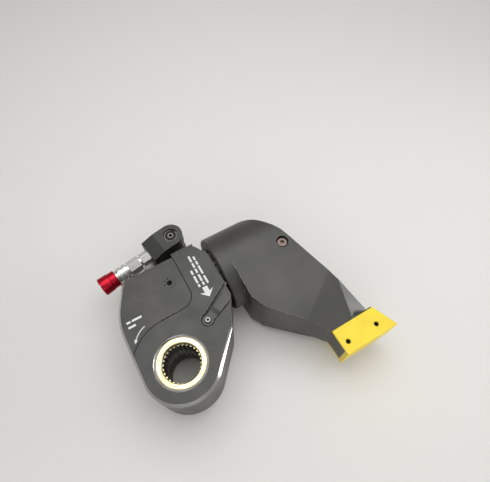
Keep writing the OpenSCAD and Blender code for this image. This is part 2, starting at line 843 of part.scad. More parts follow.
module arm_plan() {
  polygon(rounded([
    [hub_x, lever_r + hub_r, 0], [hub_x, hub_low_y - 2, 0], [leg_x0, hub_low_y - 2, 0],
    [leg_x0 - 1, hub_low_y - knee_drop, 14], [leg_x0 + 10, hub_low_y - calf_drop, 26],
    [foot_x0 - 8, foot_y1 + 11, 34], [foot_x0, foot_y1 - 4, 24],
    [foot_x0, sole_y + shoe_sole + fit_c, 0],
    [foot_right(sole_y + shoe_sole + fit_c), sole_y + shoe_sole + fit_c, 0],
    [foot_p[0], foot_p[1], 0], [flare_p[0], flare_p[1], flare_round],
    [back_p[0], back_p[1], back_round], [shoulder_x, lever_r + hub_r, shoulder_r]]));
}

function foot_right(y) = foot_x0 + foot_w + (foot_y1 - y) * 0.39;

// Section of the leg across the cylinder: faces tangent to the hub, narrowing downwards
function leg_section() =
  let (y1 = lever_r - hub_r * sin(leg_taper), z1 = hub_r * cos(leg_taper))
  let (z2 = z1 - (y1 - sole_y) * tan(leg_taper))
  [[y1, z1], [sole_y, z2], [sole_y, -z2], [y1, -z1]];

// Plane that thins the lower leg down to the shoe
module lower_leg_cutter() {
  z0 = leg_z(crease_p[1]);
  translate([crease_p[0], crease_p[1], z0]) rotate([0, 0, crease_yaw]) rotate([leg_drop(z0), 0, 0])
    translate([-150, -200, 0]) cube([300, 300, 80]);
}

// Height of the leg's tapered face at y
function leg_z(y) = hub_r * cos(leg_taper) - (lever_r - hub_r * sin(leg_taper) - y) * tan(leg_taper);

// Slanted facet on the right of the lower leg, down to a ledge above the shoe
module side_facet_cutter() {
  d = facet_p1 - facet_p2;
  pitch = atan((leg_z(facet_p1[1]) - foot_z) / norm(d));
  intersection() {
    translate([foot_x0, foot_y1 + facet_ledge, 0]) cube([150, 120, 100]);
    translate([facet_p2[0], facet_p2[1], foot_z]) rotate([facet_roll, -pitch, atan2(d[1], d[0])])
      translate([-40, -90, 0]) cube([160, 150, 80]);
  }
}

function leg_drop(z0) = atan((z0 - foot_z) / (crease_p[1] - foot_y1));

module reaction_arm() {
  color("#5c5c59") difference() {
    intersection() {
      union() {
        on_cylinder() rod_along_x(hub_r, hub_x, far);
        translate([leg_x0, 0, 0]) rotate([90, 0, 90]) linear_extrude(far) polygon(leg_section());
      }
      slab(-far, far) arm_plan();
    }
    both_sides() difference() {
      lower_leg_cutter();
      translate([foot_x0 - 40, sole_y - 10, -1]) cube([200, foot_y1 - sole_y + 10, foot_z + 1]);
    }
    both_sides() side_facet_cutter();
    // Foot recess that the shoe fits over
    both_sides() translate([foot_x0 - 40, sole_y - 10, foot_z - shoe_wall - fit_c])
      cube([200, foot_y1 - sole_y + 10 + fit_c, 100]);
    // Splined bore, chamber for the end cap and hole for its spigot
    on_cylinder() {
      rotate([90, 0, 90]) slab(hub_x - 1, barrel_x1 + 1)
        polygon(teeth(arm_spline_n, barrel_r + free_c, barrel_r + arm_tooth_h + free_c, 0.30, 0.20));
      rod_along_x(cap_flange_r + 1, barrel_x1, barrel_x1 + cap_flange_t + 0.5);
      rod_along_x(spigot_r + free_c, barrel_x1, far);
    }
    // Bevel at the mouth of the hub
    on_cylinder() translate([hub_x - eps, 0, 0]) rotate([0, 90, 0])
      cylinder(r1 = barrel_r + arm_tooth_h + 2, r2 = barrel_r + arm_tooth_h, h = 2);
    // Lock screw
    translate([lock_x(), lock_y, 0]) {
      rod_z(lock_head_r + 2.1, lock_seat_z, far);
      rod_z(lock_r + fit_c, -34, far);
    }
    // Tapped holes under the shoe
    both_sides() shoe_screw_places() rod_z(3 + fit_c, 6, far);
    hub_edge_cutter();
  }
}

// Chamfer on the front edge of the hub
module hub_edge_cutter() {
  on_cylinder() rotate([0, 90, 0]) rotate_extrude()
    polygon([[hub_r - 2.5, hub_x - 1], [hub_r + 2, hub_x - 1], [hub_r + 2, hub_x + 3.5]]);
}

module arm_lock_screw() {
  color("#c9b3a4") translate([lock_x(), lock_y, 0]) difference() {
    union() {
      rod_z(lock_r, -lock_end_z, lock_seat_z + 0.5);
      rod_z(lock_head_r, lock_seat_z, lock_seat_z + lock_head_h);
    }
    translate([0, 0, lock_seat_z + 3]) cylinder(d = lock_key, h = lock_head_h, $fn = 6);
  }
}

module shoe_screw_places() {
  for (x = [foot_x0 + 10, foot_x0 + 55.7]) translate([x, sole_y + 14, 0]) children();
}

module reaction_shoe() {
  color("#f2d21b") difference() {
    slab(-foot_z, foot_z) polygon([[foot_x0, foot_y1], [foot_x0, sole_y],
                                   [foot_right(sole_y), sole_y], [foot_x0 + foot_w, foot_y1]]);
    translate([foot_x0 - 20, sole_y + shoe_sole, -foot_z + shoe_wall])
      cube([200, 100, 2 * (foot_z - shoe_wall)]);
    shoe_screw_places() rod_z(3.3, -foot_z - 1, foot_z + 1);
  }
}

module shoe_screws() {
  color("#202020") both_sides() shoe_screw_places() difference() {
    rod_z(3, 6.5, foot_z - 1.2);
    translate([0, 0, foot_z - 3.5]) cylinder(d = 3.4, h = 3, $fn = 6);
  }
}

module along_post() {
  translate([swivel_x, 0, 0]) rotate([-90, 0, 0]) children();
}

module swivel_dowel_pair(r) {
  y = (spigot_y0 + boss_y1) / 2 + 2;
  for (s = [-1, 1]) translate([swivel_x + s * spigot_base_r, y, 0]) rod_z(r, -24, 25.5);
}

module swivel_base() {
  groove_y = (spigot_y0 + boss_y1) / 2 + 2;
  color("#3b3c3c") difference() {
    union() {
      along_post() {
        rod_z(spigot_base_r, spigot_y0 + 3, boss_y1 + 1);
        rod_z(13, boss_y1 + free_c, boss_y1 + 6.5);
      }
      translate([swivel_x - 11, boss_y1 + 5, -tongue_hz]) cube([22, pin_y - boss_y1 - 5, 2 * tongue_hz]);
      translate([swivel_x, pin_y, 0]) rod_z(tongue_r, -tongue_hz, tongue_hz);
    }
    translate([swivel_x, pin_y, 0]) rod_z(cross_r + run_c, -tongue_hz - 1, tongue_hz + 1);
    // Groove for the dowels and two seal grooves
    along_post() {
      ring_z(spigot_base_r - 2.5 - free_c, spigot_base_r + 1,
             groove_y - 2.5 - free_c, groove_y + 2.5 + free_c);
      for (y = [groove_y - 6, groove_y + 6])
        ring_z(spigot_base_r - 1.6, spigot_base_r + 1, y - 1, y + 1);
      rod_z(2.5, spigot_y0, pin_y);
    }
  }
}

module swivel_base_seals() {
  groove_y = (spigot_y0 + boss_y1) / 2 + 2;
  color("#2c2c2e") along_post() for (y = [groove_y - 6, groove_y + 6])
    ring_z(spigot_base_r - 1.6 + fit_c, spigot_base_r, y - 1 + fit_c, y + 1 - fit_c);
}

module swivel_dowels() {
  color("#9a9a97") intersection() {
    swivel_dowel_pair(2.5);
    translate([swivel_x - 50, 0, -23.9]) cube([100, far, 48.7]);
  }
}

module swivel_block() {
  bevel_u = 21;
  bevel_z = 5;
  end_u = block_len + 1;
  end_z = block_t / 2 - bevel_z * (end_u - bevel_u) / (block_len - bevel_u);
  color("#454643") difference() {
    coupler_frame() slab(-block_t / 2, block_t / 2) union() {
      circle(r = cheek_r);
      translate([0, -cheek_r]) square([block_len, block_w]);
    }
    coupler_frame() {
      // Slot for the tongue of the swivel base
      translate([-far / 2, -far / 2, -slot_hz]) cube([far / 2 + slot_u, far, 2 * slot_hz]);
      rod_z(cross_r + fit_c, -block_t, block_t);
      both_sides() rod_z(cbore_r, block_t / 2 - cbore_d, block_t);
      // Long bevels down to the coupler face
      both_sides() rotate([90, 0, 0]) linear_extrude(far, center = true)
        polygon([[bevel_u, block_t / 2], [end_u, end_z], [end_u, block_t / 2 + 1],
                 [bevel_u, block_t / 2 + 1]]);
      // Ports for the adapters and the passages to the cross pin
      both_sides() translate([0, 0, coupler_pitch / 2]) {
        rod_along_x(6.5 + fit_c, block_len - 12, block_len + 1);
        rod_along_x(2.5, 0, block_len);
      }
    }
  }
}

module swivel_pin() {
  pin_z = block_t / 2 - 2;
  color("#b2b1ad") translate([swivel_x, pin_y, 0]) difference() {
    rod_z(cross_r, -pin_z, pin_z);
    both_sides() {
      ring_z(cross_r - 0.8, cross_r + 1, block_t / 2 - cbore_d + 0.4, block_t / 2 - cbore_d + 1.6);
      rod_z(2.4, pin_z - 7, pin_z + 1);
    }
    for (z = [-7, 0, 7]) ring_z(cross_r - 1.4, cross_r + 1, z - 1, z + 1);
  }
}

module swivel_pin_seals() {
  color("#2c2c2e") translate([swivel_x, pin_y, 0]) for (z = [-7, 0, 7])
    ring_z(cross_r - 1.4 + fit_c, cross_r, z - 1 + fit_c, z + 1 - fit_c);
}

module swivel_circlips() {
  color("#8f8f8c") both_sides() translate([swivel_x, pin_y, block_t / 2 - cbore_d + 0.45])
    rotate([0, 0, 70]) rotate_extrude(angle = 310)
      translate([cross_r - 0.8 + fit_c, 0]) square([2.4, 1.1]);
}

module coupler_adapters() {
  color("#c9c9c4") both_sides() coupler_frame() translate([0, 0, coupler_pitch / 2]) difference() {
    union() {
      rod_along_x(6.5, block_len - 11.5, block_len + 1);
      translate([block_len, 0, 0]) rotate([0, 90, 0])
        cylinder(d = hex_af / cos(30), h = adapter_len, $fn = 6);
      rod_along_x(7, block_len, female_u0);
    }
    rod_along_x(3, block_len - 20, female_u0 + 1);
  }
}

module female_coupler() {
  r = female_d / 2;
  u = female_u0;
  m = mouth_u;
  core_r = r * cos(30) - 0.3;
  color("#cfcfca") difference() {
    union() {
      turned_coupler(1) polygon([
        [0, u], [core_r, u], [core_r, u + flats_len + 2.4], [r + 1.4, u + 21], [r + 1.4, u + 25],
        [r, u + 25.6], [r, u + 28], [r + 1.4, u + 28.6], [r + 1.4, shoulder_u], [tube_r, shoulder_u],
        [tube_r, m - 3.6], [tube_r - 0.9, m - 3.6], [tube_r - 0.9, m - 2.4], [tube_r, m - 2.4],
        [tube_r, m], [0, m]]);
      coupler_frame() translate([u + 0.5, 0, coupler_pitch / 2]) rotate([0, 90, 0])
        cylinder(r = r, h = flats_len - 0.5, $fn = 6);
    }
    turned_coupler(1) polygon([
      [0, u - 1], [3, u - 1], [3, socket_u - valve_bore_len],
      [valve_r + run_c, socket_u - valve_bore_len], [valve_r + run_c, socket_u], [socket_r, socket_u],
      [socket_r, m - 0.8], [socket_r + 0.8, m], [socket_r + 0.8, m + 1], [0, m + 1]]);
  }
}

module coupler_sleeve() {
  r1 = sleeve_od / 2;
  a = sleeve_u0;
  b = sleeve_u1;
  color("#b81f33") turned_coupler(1) polygon([
    [11.2, a], [r1 - 1.8, a], [r1 - 1.2, a + 0.6], [r1 - 1.2, a + 9], [r1 - 0.4, a + 10], [r1, b - 5],
    [r1, b - 1], [r1 - 1, b], [tube_r + 1.5, b], [tube_r + 1.5, b - 3.4], [tube_r + run_c, b - 3.4],
    [tube_r + run_c, a + 9], [11.2, a + 9]]);
}

module coupler_spring() {
  color("#b5b5b0") coupler_frame() translate([shoulder_u, 0, coupler_pitch / 2]) rotate([0, 90, 0])
    coil(21.6, 0.9, sleeve_u0 + 9 - shoulder_u, 4);
}

module coupler_snap_ring() {
  color("#8f8f8c") turned_coupler(1)
    translate([tube_r - 0.9 + fit_c, mouth_u - 3.55]) square([1.9, 1.1]);
}

module coupler_valve() {
  color("#c9b27a") turned_coupler(1) polygon([
    [0, valve_u0], [valve_r, valve_u0], [valve_r, valve_u1 - 1], [valve_r - 0.8, valve_u1],
    [0, valve_u1]]);
}

module male_coupler() {
  u = female_u0;
  r = nipple_r;
  color("#cfcfca") turned_coupler(-1) polygon([
    [3, u], [9, u], [10, u + 1], [10, u + 14], [8.6, u + 14.6], [8.6, u + 16.4], [10.8, u + 17],
    [10.8, u + 22], [r, u + 22], [r, u + 33], [r - 0.9, u + 33.6], [r - 0.9, u + 35.4],
    [r, u + 36], [r, u + 39], [r - 1.4, u + 41], [2.4, u + 41], [2.4, u + 4], [3, u + 4]]);
}

housing();
shroud();
shroud_screws();
drive_sleeve_upper();
drive_sleeve_lower();
sleeve_circlips();
ratchet_wheel();
drive_plate_upper();
drive_plate_lower();
pawl_holder();
holder_pins();
drive_pawl();
drive_pawl_springs();
rod_eye();
rod_pin();
piston_rod();
piston();
piston_seal();
rod_gland();
rod_seal();
end_cap();
end_cap_seal();
passage_plug();
reaction_pawl();
reaction_pawl_pin();
reaction_pawl_spring();
release_lever();
release_shaft();
release_screw();
reaction_arm();
arm_lock_screw();
reaction_shoe();
shoe_screws();
swivel_base();
swivel_base_seals();
swivel_dowels();
swivel_block();
swivel_pin();
swivel_pin_seals();
swivel_circlips();
coupler_adapters();
female_coupler();
coupler_sleeve();
coupler_spring();
coupler_snap_ring();
coupler_valve();
male_coupler();
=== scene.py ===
import math

import bmesh
import bpy
from mathutils import Euler, Matrix, Vector


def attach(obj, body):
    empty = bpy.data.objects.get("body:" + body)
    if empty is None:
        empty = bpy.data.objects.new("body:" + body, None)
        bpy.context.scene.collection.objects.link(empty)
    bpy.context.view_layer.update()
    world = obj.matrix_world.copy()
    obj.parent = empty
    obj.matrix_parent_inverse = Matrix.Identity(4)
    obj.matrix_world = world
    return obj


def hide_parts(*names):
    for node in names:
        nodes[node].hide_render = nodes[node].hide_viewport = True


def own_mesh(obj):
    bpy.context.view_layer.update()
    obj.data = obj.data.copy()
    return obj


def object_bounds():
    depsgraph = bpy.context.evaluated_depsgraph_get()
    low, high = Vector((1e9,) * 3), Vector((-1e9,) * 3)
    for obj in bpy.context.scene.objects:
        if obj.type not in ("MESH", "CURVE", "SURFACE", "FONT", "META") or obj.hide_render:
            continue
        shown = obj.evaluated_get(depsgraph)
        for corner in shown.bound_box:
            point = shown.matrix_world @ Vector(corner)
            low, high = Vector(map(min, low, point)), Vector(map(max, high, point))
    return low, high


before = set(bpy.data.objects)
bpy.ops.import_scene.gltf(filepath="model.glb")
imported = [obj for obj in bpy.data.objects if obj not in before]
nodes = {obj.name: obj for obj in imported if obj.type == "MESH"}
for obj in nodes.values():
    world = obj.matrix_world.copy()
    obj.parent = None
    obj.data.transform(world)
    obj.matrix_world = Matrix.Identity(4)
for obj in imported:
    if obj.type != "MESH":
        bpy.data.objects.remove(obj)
cadBox = [list(corner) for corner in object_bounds()]
mm = 0.001
faceHeight = 43.0  # mm from mid thickness to the flat faces of housing and shroud
print("frame:", len(nodes), "CAD nodes")


def linearColour(code):  # sRGB hex to the linear values that shaders take
    parts = [int(code[i:i + 2], 16) / 255 for i in (1, 3, 5)]
    return [p / 12.92 if p <= 0.04045 else ((p + 0.055) / 1.055) ** 2.4 for p in parts] + [1.0]


def feed(tree, node, sources):  # links each source to the socket that it is listed under
    for name, source in sources.items():
        tree.links.new(source, node.inputs[name])


def addNode(tree, kind, values=None, links=None, **settings):
    node = tree.nodes.new(kind)
    for name, value in settings.items():
        setattr(node, name, value)
    for name, value in (values or {}).items():
        node.inputs[name].default_value = value
    feed(tree, node, links or {})
    return node


def putInScene(name, data):
    thing = bpy.data.objects.new(name, data)
    bpy.context.scene.collection.objects.link(thing)
    return thing


def newMaterial(name, look):
    material = bpy.data.materials.new(name)
    material.use_nodes = True
    tree = material.node_tree
    shader = tree.nodes["Principled BSDF"]
    shader.inputs["Base Color"].default_value = linearColour(look["colour"])
    shader.inputs["Metallic"].default_value = look["metallic"]
    shader.inputs["Roughness"].default_value = look["roughness"]
    shader.inputs["Specular IOR Level"].default_value = look.get("specular", 0.5)
    return material, tree, shader


# Camera: the photograph's viewpoint, worked out in the CAD frame
cameraView = {
    "place": (0.0184, -0.1274, 0.5217),
    "turn": (29.2538, 0.3693, -29.9953),  # degrees about x, y and z
    "lens": 28.6,
    "sensor": 36,  # mm wide
    "nearest": 0.01,
}


def makeCamera(view):
    data = bpy.data.cameras.new("photoCamera")
    data.sensor_width = view["sensor"]
    data.lens = view["lens"]
    data.clip_start = view["nearest"]
    camera = putInScene("photoCamera", data)
    turn = Euler([math.radians(a) for a in view["turn"]])
    camera.matrix_world = Matrix.Translation(view["place"]) @ turn.to_matrix().to_4x4()
    bpy.context.scene.camera = camera


# Studio: one broad soft box overhead, a low strip on the right for the edge gleam, a front lamp, pale floor
studio = {
    "lamps": {
        "softBox": {"place": (0.36, 0.27, 1.30), "aim": (0.30, 0.20, 0.0), "size": (1.6, 1.1), "power": 13.0,
                    "spread": 180},
        "strip": {"place": (1.30, -0.48, 0.16), "aim": (0.0, 0.0, 0.03), "size": (0.9, 0.36), "power": 0.85,
                  "spread": 50},  # narrow, which keeps it off the floor in front of it
        "front": {"place": (-0.45, -1.25, 0.95), "aim": (0.05, 0.0, 0.0), "size": (1.4, 1.0), "power": 5.0,
                  "spread": 180},
    },
    "world": {"colour": "#ffffff", "strength": 0.34},
    "floor": {"colour": "#e6e4e0", "metallic": 0.0, "roughness": 0.8},
    "floorSize": 5.0,
    "floorGap": 0.0002,
}


def makeLamp(name, lamp):
    data = bpy.data.lights.new(name, "AREA")
    data.shape = "RECTANGLE"
    data.size, data.size_y = lamp["size"]
    data.energy = lamp["power"]
    data.spread = math.radians(lamp["spread"])
    light = putInScene(name, data)
    aim = Vector(lamp["aim"]) - Vector(lamp["place"])
    light.matrix_world = Matrix.Translation(lamp["place"]) @ aim.to_track_quat("-Z", "Y").to_matrix().to_4x4()


def makeStudio(plan):
    for name, lamp in plan["lamps"].items():
        makeLamp(name, lamp)
    world = bpy.data.worlds.new("studioWorld")
    world.use_nodes = True
    background = world.node_tree.nodes["Background"]
    background.inputs["Color"].default_value = linearColour(plan["world"]["colour"])
    background.inputs["Strength"].default_value = plan["world"]["strength"]
    bpy.context.scene.world = world
    half = plan["floorSize"] / 2
    level = cadBox[0][2] - plan["floorGap"]
    corners = [(x * half, y * half, level) for x, y in ((-1, -1), (1, -1), (1, 1), (-1, 1))]
    mesh = bpy.data.meshes.new("studioFloor")
    mesh.from_pydata(corners, [], [(0, 1, 2, 3)])
    mesh.materials.append(newMaterial("paleMattFloor", plan["floor"])[0])
    floor = putInScene("studioFloor", mesh)


makeCamera(cameraView)
makeStudio(studio)
bpy.context.scene.view_settings.view_transform = "Standard"
print("studio: camera, three lamps and a floor")

bevelSamples = 6
mixFrom, mixTo, mixed = 6, 7, 2  # the colour sockets of a mix: two in, one out
plainFrom, plainTo = 2, 3  # and those for plain numbers

# Satin black coating on machined steel: dark and slightly cloudy, with a broad soft sheen,
# rubbed to metal along its edges and drawn pale there, both wear and a painted edge highlight; sizes of all
# patterns are in mm
coating = {
    "metallic": 0.0,
    "roughness": 0.38,
    "glossPlay": 0.05,
    "edgeRound": 0.5,
    "rubWidth": 1.0,
    "rubSpan": {"From Min": 0.97, "From Max": 0.78},
    # pale metal at the rubbed edges: wear, and a painted highlight along them
    "bare": "#b9b8b2",
    "cloud": 28,
    "cloudSpan": {"From Min": 0.3, "From Max": 0.7},
    "scuff": 5,
    "scuffSpan": {"From Min": 0.42, "From Max": 0.62},
    "grain": 1.1,  # real grain is about 0.2 mm, drawn coarser so that it shows
    "grainDepth": 0.05,
    "bump": 0.16,
}
# Chamfers: pale metal painted on the faces that lean at 45 degrees, a painted highlight
chamfer = {
    "paintedGleam": "#c9c8c4",
    "paintedGleamRoughness": 0.24,
    "paintedGleamPlay": 0.06,  # how far from 45 degrees a face may lean and still take the painted highlight
}


def satinCoating(name, look):
    material, tree, shader = newMaterial(name, look)
    place = addNode(tree, "ShaderNodeTexCoord").outputs["Object"]
    face = addNode(tree, "ShaderNodeNewGeometry").outputs["Normal"]
    edge = addNode(tree, "ShaderNodeBevel", {"Radius": look["edgeRound"] * mm}, samples=bevelSamples)
    rub = addNode(tree, "ShaderNodeBevel", {"Radius": look["rubWidth"] * mm}, samples=bevelSamples)
    bend = addNode(tree, "ShaderNodeVectorMath", links={0: rub.outputs[0], 1: face}, operation="DOT_PRODUCT")
    bend = addNode(tree, "ShaderNodeMapRange", look["rubSpan"], {"Value": bend.outputs["Value"]})
    cloud = addNode(tree, "ShaderNodeTexNoise", {"Scale": 1 / (look["cloud"] * mm), "Detail": 4.0},
                    {"Vector": place})
    scuff = addNode(tree, "ShaderNodeTexNoise", {"Scale": 1 / (look["scuff"] * mm), "Detail": 6.0},
                    {"Vector": place})
    scuff = addNode(tree, "ShaderNodeMapRange", look["scuffSpan"], {"Value": scuff.outputs["Fac"]})
    # rubbed edges: wear, and a painted highlight along them
    rubAndGleam = addNode(tree, "ShaderNodeMath", links={0: bend.outputs[0], 1: scuff.outputs[0]},
                   operation="MULTIPLY")
    tone = addNode(tree, "ShaderNodeMapRange", look["cloudSpan"], {"Value": cloud.outputs["Fac"]})
    colour = addNode(tree, "ShaderNodeMix",
                     {mixFrom: linearColour(look["colour"]), mixTo: linearColour(look["paler"])},
                     {0: tone.outputs[0]}, data_type="RGBA")
    colour = addNode(tree, "ShaderNodeMix", {mixTo: linearColour(look["bare"])},
                     {0: rubAndGleam.outputs[0], mixFrom: colour.outputs[mixed]}, data_type="RGBA")
    gloss = addNode(tree, "ShaderNodeMapRange", {"To Min": look["roughness"] + look["glossPlay"],
                                                 "To Max": look["roughness"] - look["glossPlay"]},
                    {"Value": tone.outputs[0]})
    metal = rubAndGleam
    if "paintedGleam" in look:  # chamfers painted pale bright metal, a painted highlight: the faces that lean at 45 degrees
        normal = addNode(tree, "ShaderNodeTexCoord").outputs["Normal"]
        lean = addNode(tree, "ShaderNodeSeparateXYZ", links={0: normal})
        lean = addNode(tree, "ShaderNodeMath", links={0: lean.outputs[2]}, operation="ABSOLUTE")
        lean = addNode(tree, "ShaderNodeMath", {1: math.sqrt(0.5), 2: look["paintedGleamPlay"]},
                       {0: lean.outputs[0]}, operation="COMPARE")
        colour = addNode(tree, "ShaderNodeMix", {mixTo: linearColour(look["paintedGleam"])},
                         {0: lean.outputs[0], mixFrom: colour.outputs[mixed]}, data_type="RGBA")
        gloss = addNode(tree, "ShaderNodeMix", {plainTo: look["paintedGleamRoughness"]},
                        {0: lean.outputs[0], plainFrom: gloss.outputs[0]})
        metal = addNode(tree, "ShaderNodeMath", links={0: lean.outputs[0], 1: rubAndGleam.outputs[0]},
                        operation="MAXIMUM")
    grain = addNode(tree, "ShaderNodeTexNoise", {"Scale": 1 / (look["grain"] * mm), "Detail": 2.0},
                    {"Vector": place})
    bump = addNode(tree, "ShaderNodeBump", {"Strength": look["bump"], "Distance": look["grainDepth"] * mm},
                   {"Height": grain.outputs["Fac"], "Normal": edge.outputs[0]})
    feed(tree, shader, {"Base Color": colour.outputs[mixed], "Metallic": metal.outputs[0],
                        "Roughness": gloss.outputs[0], "Normal": bump.outputs[0]})
    return material


# Turned metal: fine tool lines run round the axis on walls and end faces alike
turned = {
    "metallic": 1.0,
    "glossPlay": (-0.06, 0.08),
    "edgeRound": 0.3,
    "line": 0.7,  # real tool lines are about 0.15 mm apart, drawn coarser so that they show
    "lineDepth": 0.02,
    "bump": 0.25,
    "stain": 14,
    "stainSpan": {"From Min": 0.35, "From Max": 0.65},
    "ringCover": 0.9,
    "ringReach": 1.25,  # the tones run on past the outermost step by this share
}


def turnedMetal(name, look):
    material, tree, shader = newMaterial(name, look)
    place = addNode(tree, "ShaderNodeTexCoord").outputs["Object"]
    local = addNode(tree, "ShaderNodeMapping", {"Location": look["axisAt"], "Rotation": look["axisTurn"]},
                    {"Vector": place}, vector_type="TEXTURE")
    split = addNode(tree, "ShaderNodeSeparateXYZ", links={0: local.outputs[0]})
    across = addNode(tree, "ShaderNodeCombineXYZ", links={0: split.outputs[0], 1: split.outputs[1]})
    radius = addNode(tree, "ShaderNodeVectorMath", links={0: across.outputs[0]}, operation="LENGTH")
    path = addNode(tree, "ShaderNodeCombineXYZ", links={0: radius.outputs["Value"], 2: split.outputs[2]})
    lines = addNode(tree, "ShaderNodeTexNoise", {"Scale": 1 / (look["line"] * mm), "Detail": 3.0},
                    {"Vector": path.outputs[0]})
    stain = addNode(tree, "ShaderNodeTexNoise", {"Scale": 1 / (look["stain"] * mm), "Detail": 4.0},
                    {"Vector": place})
    tone = addNode(tree, "ShaderNodeMapRange", look["stainSpan"], {"Value": stain.outputs["Fac"]})
    colour = addNode(tree, "ShaderNodeMix",
                     {mixFrom: linearColour(look["colour"]), mixTo: linearColour(look["darker"])},
                     {0: tone.outputs[0]}, data_type="RGBA")
    if "paintedRings" in look:  # painted light and shade by radius: from each radius outwards the face has its own tone, painted highlight and painted shade for its steps and hollows
        ramp = addNode(tree, "ShaderNodeValToRGB")
        ramp.color_ramp.interpolation = "CONSTANT"
        reach = look["paintedRings"][-1][0] * look["ringReach"]
        for i, (start, tint) in enumerate(look["paintedRings"]):
            stops = ramp.color_ramp.elements
            stop = stops[i] if i < 2 else stops.new(1.0)  # a new ramp has two stops
            stop.position = start / reach
            stop.color = linearColour(tint)
        span = addNode(tree, "ShaderNodeMath", {1: reach * mm}, {0: radius.outputs["Value"]},
                       operation="DIVIDE")
        feed(tree, ramp, {0: span.outputs[0]})
        colour = addNode(tree, "ShaderNodeMix", {0: look["ringCover"]},
                         {mixFrom: colour.outputs[mixed], mixTo: ramp.outputs[0]}, data_type="RGBA")
    if "boreRadius" in look:  # the broached bore's walls are painted dark: painted shade inside the bore, on its walls only
        inside = addNode(tree, "ShaderNodeMath", {1: look["boreRadius"] * mm}, {0: radius.outputs["Value"]},
                         operation="LESS_THAN")
        normal = addNode(tree, "ShaderNodeTexCoord").outputs["Normal"]
        upright = addNode(tree, "ShaderNodeSeparateXYZ", links={0: normal})
        upright = addNode(tree, "ShaderNodeMath", {1: 0.0, 2: look["wallLean"]}, {0: upright.outputs[2]},
                          operation="COMPARE")
        shadedWall = addNode(tree, "ShaderNodeMath", links={0: inside.outputs[0], 1: upright.outputs[0]},
                         operation="MULTIPLY")
        colour = addNode(tree, "ShaderNodeMix", {mixTo: linearColour(look["boreShade"])},
                         {0: shadedWall.outputs[0], mixFrom: colour.outputs[mixed]}, data_type="RGBA")
    gloss = addNode(tree, "ShaderNodeMapRange", {"To Min": look["roughness"] + look["glossPlay"][0],
                                                 "To Max": look["roughness"] + look["glossPlay"][1]},
                    {"Value": lines.outputs["Fac"]})
    edge = addNode(tree, "ShaderNodeBevel", {"Radius": look["edgeRound"] * mm}, samples=bevelSamples)
    bump = addNode(tree, "ShaderNodeBump", {"Strength": look["bump"], "Distance": look["lineDepth"] * mm},
                   {"Height": lines.outputs["Fac"], "Normal": edge.outputs[0]})
    feed(tree, shader, {"Base Color": colour.outputs[mixed], "Roughness": gloss.outputs[0],
                        "Normal": bump.outputs[0]})
    return material


# Ground or formed steel and other plain surfaces: faint cross scratches over an even tone
ground = {
    "metallic": 1.0,
    "glossPlay": (-0.06, 0.08),
    "edgeRound": 0.3,
    "line": 0.8,  # real scratches are under 0.1 mm wide, drawn coarser so that they show
    "lineSpan": {"From Min": 0.3, "From Max": 0.7},
    "lineDepth": 0.02,
    "stretch": (1, 0.12, 1),
    "bump": 0.2,
}


def groundSteel(name, look):
    material, tree, shader = newMaterial(name, look)
    place = addNode(tree, "ShaderNodeTexCoord").outputs["Object"]
    drawn = addNode(tree, "ShaderNodeMapping", {"Scale": look["stretch"]}, {"Vector": place})
    lines = addNode(tree, "ShaderNodeTexNoise", {"Scale": 1 / (look["line"] * mm), "Detail": 4.0},
                    {"Vector": drawn.outputs[0]})
    tone = addNode(tree, "ShaderNodeMapRange", look["lineSpan"], {"Value": lines.outputs["Fac"]})
    colour = addNode(tree, "ShaderNodeMix",
                     {mixFrom: linearColour(look["colour"]), mixTo: linearColour(look["darker"])},
                     {0: tone.outputs[0]}, data_type="RGBA")
    gloss = addNode(tree, "ShaderNodeMapRange", {"To Min": look["roughness"] + look["glossPlay"][0],
                                                 "To Max": look["roughness"] + look["glossPlay"][1]},
                    {"Value": tone.outputs[0]})
    edge = addNode(tree, "ShaderNodeBevel", {"Radius": look["edgeRound"] * mm}, samples=bevelSamples)
    bump = addNode(tree, "ShaderNodeBump", {"Strength": look["bump"], "Distance": look["lineDepth"] * mm},
                   {"Height": lines.outputs["Fac"], "Normal": edge.outputs[0]})
    feed(tree, shader, {"Base Color": colour.outputs[mixed], "Roughness": gloss.outputs[0],
                        "Normal": bump.outputs[0]})
    return material


# Sprayed enamel: even colour with orange peel, chipped to dark steel here and there along the edges
enamel = {
    "colour": "#f9e00e",
    "deeper": "#f4d206",
    "bare": "#4a4844",
    "metallic": 0.0,
    "roughness": 0.34,
    "edgeRound": 0.6,
    "chipWidth": 0.9,
    "chipSpan": {"From Min": 0.96, "From Max": 0.82},
    "chip": 3.2,
    "flakeSpan": {"From Min": 0.60, "From Max": 0.64},
    "cloud": 25,
    "cloudSpan": {"From Min": 0.3, "From Max": 0.7},
    "peel": 2.2,
    "peelDepth": 0.05,
    "bump": 0.12,
}


